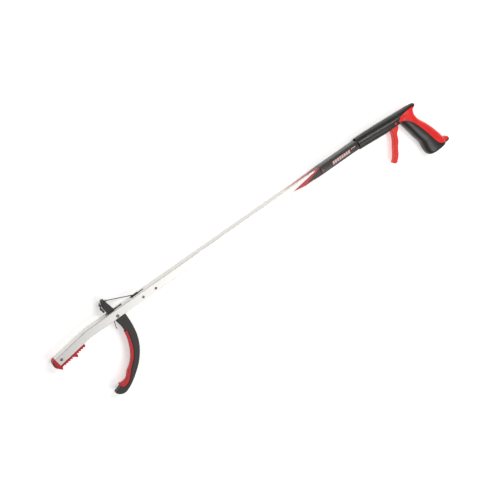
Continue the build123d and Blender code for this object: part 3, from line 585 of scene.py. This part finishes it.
cutters.append(turned("pivot_hole", TRIGGER_PIVOT, [(2.5, -20), (2.5, 20)]))
cutters += [turned("screw_hole", place, [(3.0, -20), (3.0, -10.9)]) for place in SCREWS]
form = cut(form, join("cutters", cutters))
bpy.data.objects.remove(bpy.data.objects["cutters"])

COVER_FRONT = ((791.4, 1.0), (779.0, 1.4), (767.6, 0.0), (759.0, -2.8), (753.8, -8.0))
COVER_LOWER = (
    (753.8, -8.0), (757.0, -10.4), (765.2, -12.4), (773.5, -17.6), (782.4, -29.0), (791.2, -45.0),
    (798.6, -61.5), (806.2, -79.5), (812.0, -89.4), (820.5, -94.4), (831.0, -95.4), (845.0, -93.0),
)
SEAM = 0.18


def cover_outline(gap):
    """The edge of the soft cover, drawn in by gap."""
    line = smooth_line(COVER_FRONT, 8)[:-1] + smooth_line(COVER_LOWER, 8) + [(845.0, 6.0), (806.0, -3.0)]
    shifted = []
    for i, (x, y) in enumerate(line):
        a, b = line[i - 1], line[(i + 1) % len(line)]
        run = math.hypot(b[0] - a[0], b[1] - a[1])
        shifted.append((x - (b[1] - a[1]) / run * gap, y + (b[0] - a[0]) / run * gap))
    return shifted


for gap, operation, word, mat, slot in (
    (SEAM, "INTERSECT", "grip_cover", cover_red, "cover_red"),
    (-SEAM, "DIFFERENCE", "handle", grip_black, "handle_black"),
):
    region = prism("region", cover_outline(gap), -20, 20)
    whole = bpy.data.objects.new("whole", form.data.copy())
    bpy.context.scene.collection.objects.link(whole)
    cut(whole, region, operation)
    for sign, side in ((1, "left"), (-1, "right")):
        piece = half_of(whole, f"{word}_{side}_moulding", sign)
        dress(shade(piece, 42), mat, "frame", slot, f"{word}_{side}")
    bpy.data.objects.remove(whole)
    bpy.data.objects.remove(region)
bpy.data.objects.remove(form)

pivot = turned(
    "trigger_pivot_turned", TRIGGER_PIVOT,
    [(0.6, -12.7), (1.6, -12.6), (2.2, -12.2), (2.2, 12.2), (1.6, 12.6), (0.6, 12.7)],
)
dress(shade(pivot, 50), trigger_red, "frame", "pivot_red", "trigger_pivot")

# ---- floor, light and camera -----------------------------------------------------------------------
floor = new_object("floor", [(-4, -4, 0), (4, -4, 0), (4, 4, 0), (-4, 4, 0)], [(0, 1, 2, 3)])
floor_pale = material("studio_floor", (0.90, 0.90, 0.895), 0.8, vary=0.01, patch=3, bump=0.0)
floor_shader = floor_pale.node_tree.nodes["Principled BSDF"]
floor_shader.inputs["Emission Color"].default_value = (1, 1, 1, 1)
floor_shader.inputs["Emission Strength"].default_value = 0.40
floor.data.materials.append(floor_pale)

world = bpy.data.worlds.new("studio")
bpy.context.scene.world = world
world.use_nodes = True
world.node_tree.nodes["Background"].inputs["Color"].default_value = (1.0, 0.99, 0.98, 1)
world.node_tree.nodes["Background"].inputs["Strength"].default_value = 0.34


def area_light(name, place, aim, size, power, depth=None):
    """A soft light. With a depth it is a rectangle, long in X, and otherwise a disk."""
    lamp = bpy.data.lights.new(name, "AREA")
    lamp.shape = "RECTANGLE" if depth else "DISK"
    lamp.size = size
    if depth:
        lamp.size_y = depth
    lamp.energy = power
    obj = bpy.data.objects.new(name, lamp)
    obj.location = place
    obj.rotation_euler = (Vector(aim) - Vector(place)).to_track_quat("-Z", "Y").to_euler()
    bpy.context.scene.collection.objects.link(obj)


area_light("key", (0.5, -1.5, 2.1), (0, 0, 0), 1.6, 20)
area_light("fill", (-1.2, 0.6, 2.0), (0, 0, 0), 1.2, 4)
area_light("strip", (0.67, 0.48, 1.4), (0.33, 0.03, 0), 1.0, 9, 0.12)
bpy.context.scene.view_settings.view_transform = "Standard"

# the camera stands over the tool's left side, turned so that the tube rises to the right
YAW, PITCH, ROLL = math.radians(14.0), math.radians(22.29), math.radians(30.02)
DISTANCE = 1.634
back = Vector((-math.sin(YAW) * math.cos(PITCH), math.sin(PITCH), math.cos(YAW) * math.cos(PITCH)))
level = Vector((math.cos(YAW), 0, math.sin(YAW)))
rise = Vector((math.sin(PITCH) * math.sin(YAW), math.cos(PITCH), -math.sin(PITCH) * math.cos(YAW)))
right = math.cos(ROLL) * level - math.sin(ROLL) * rise
up = math.sin(ROLL) * level + math.cos(ROLL) * rise
camera = bpy.data.objects.new("camera", bpy.data.cameras.new("camera"))
camera.data.sensor_width = 36.0
camera.data.lens = 66.23
camera.data.clip_end = 50
axes = Matrix((right, up, back)).transposed().to_4x4()
axes.translation = at(391.8, -48.5) + back * DISTANCE
camera.matrix_world = axes
bpy.context.scene.collection.objects.link(camera)
bpy.context.scene.camera = camera

bpy.context.view_layer.update()
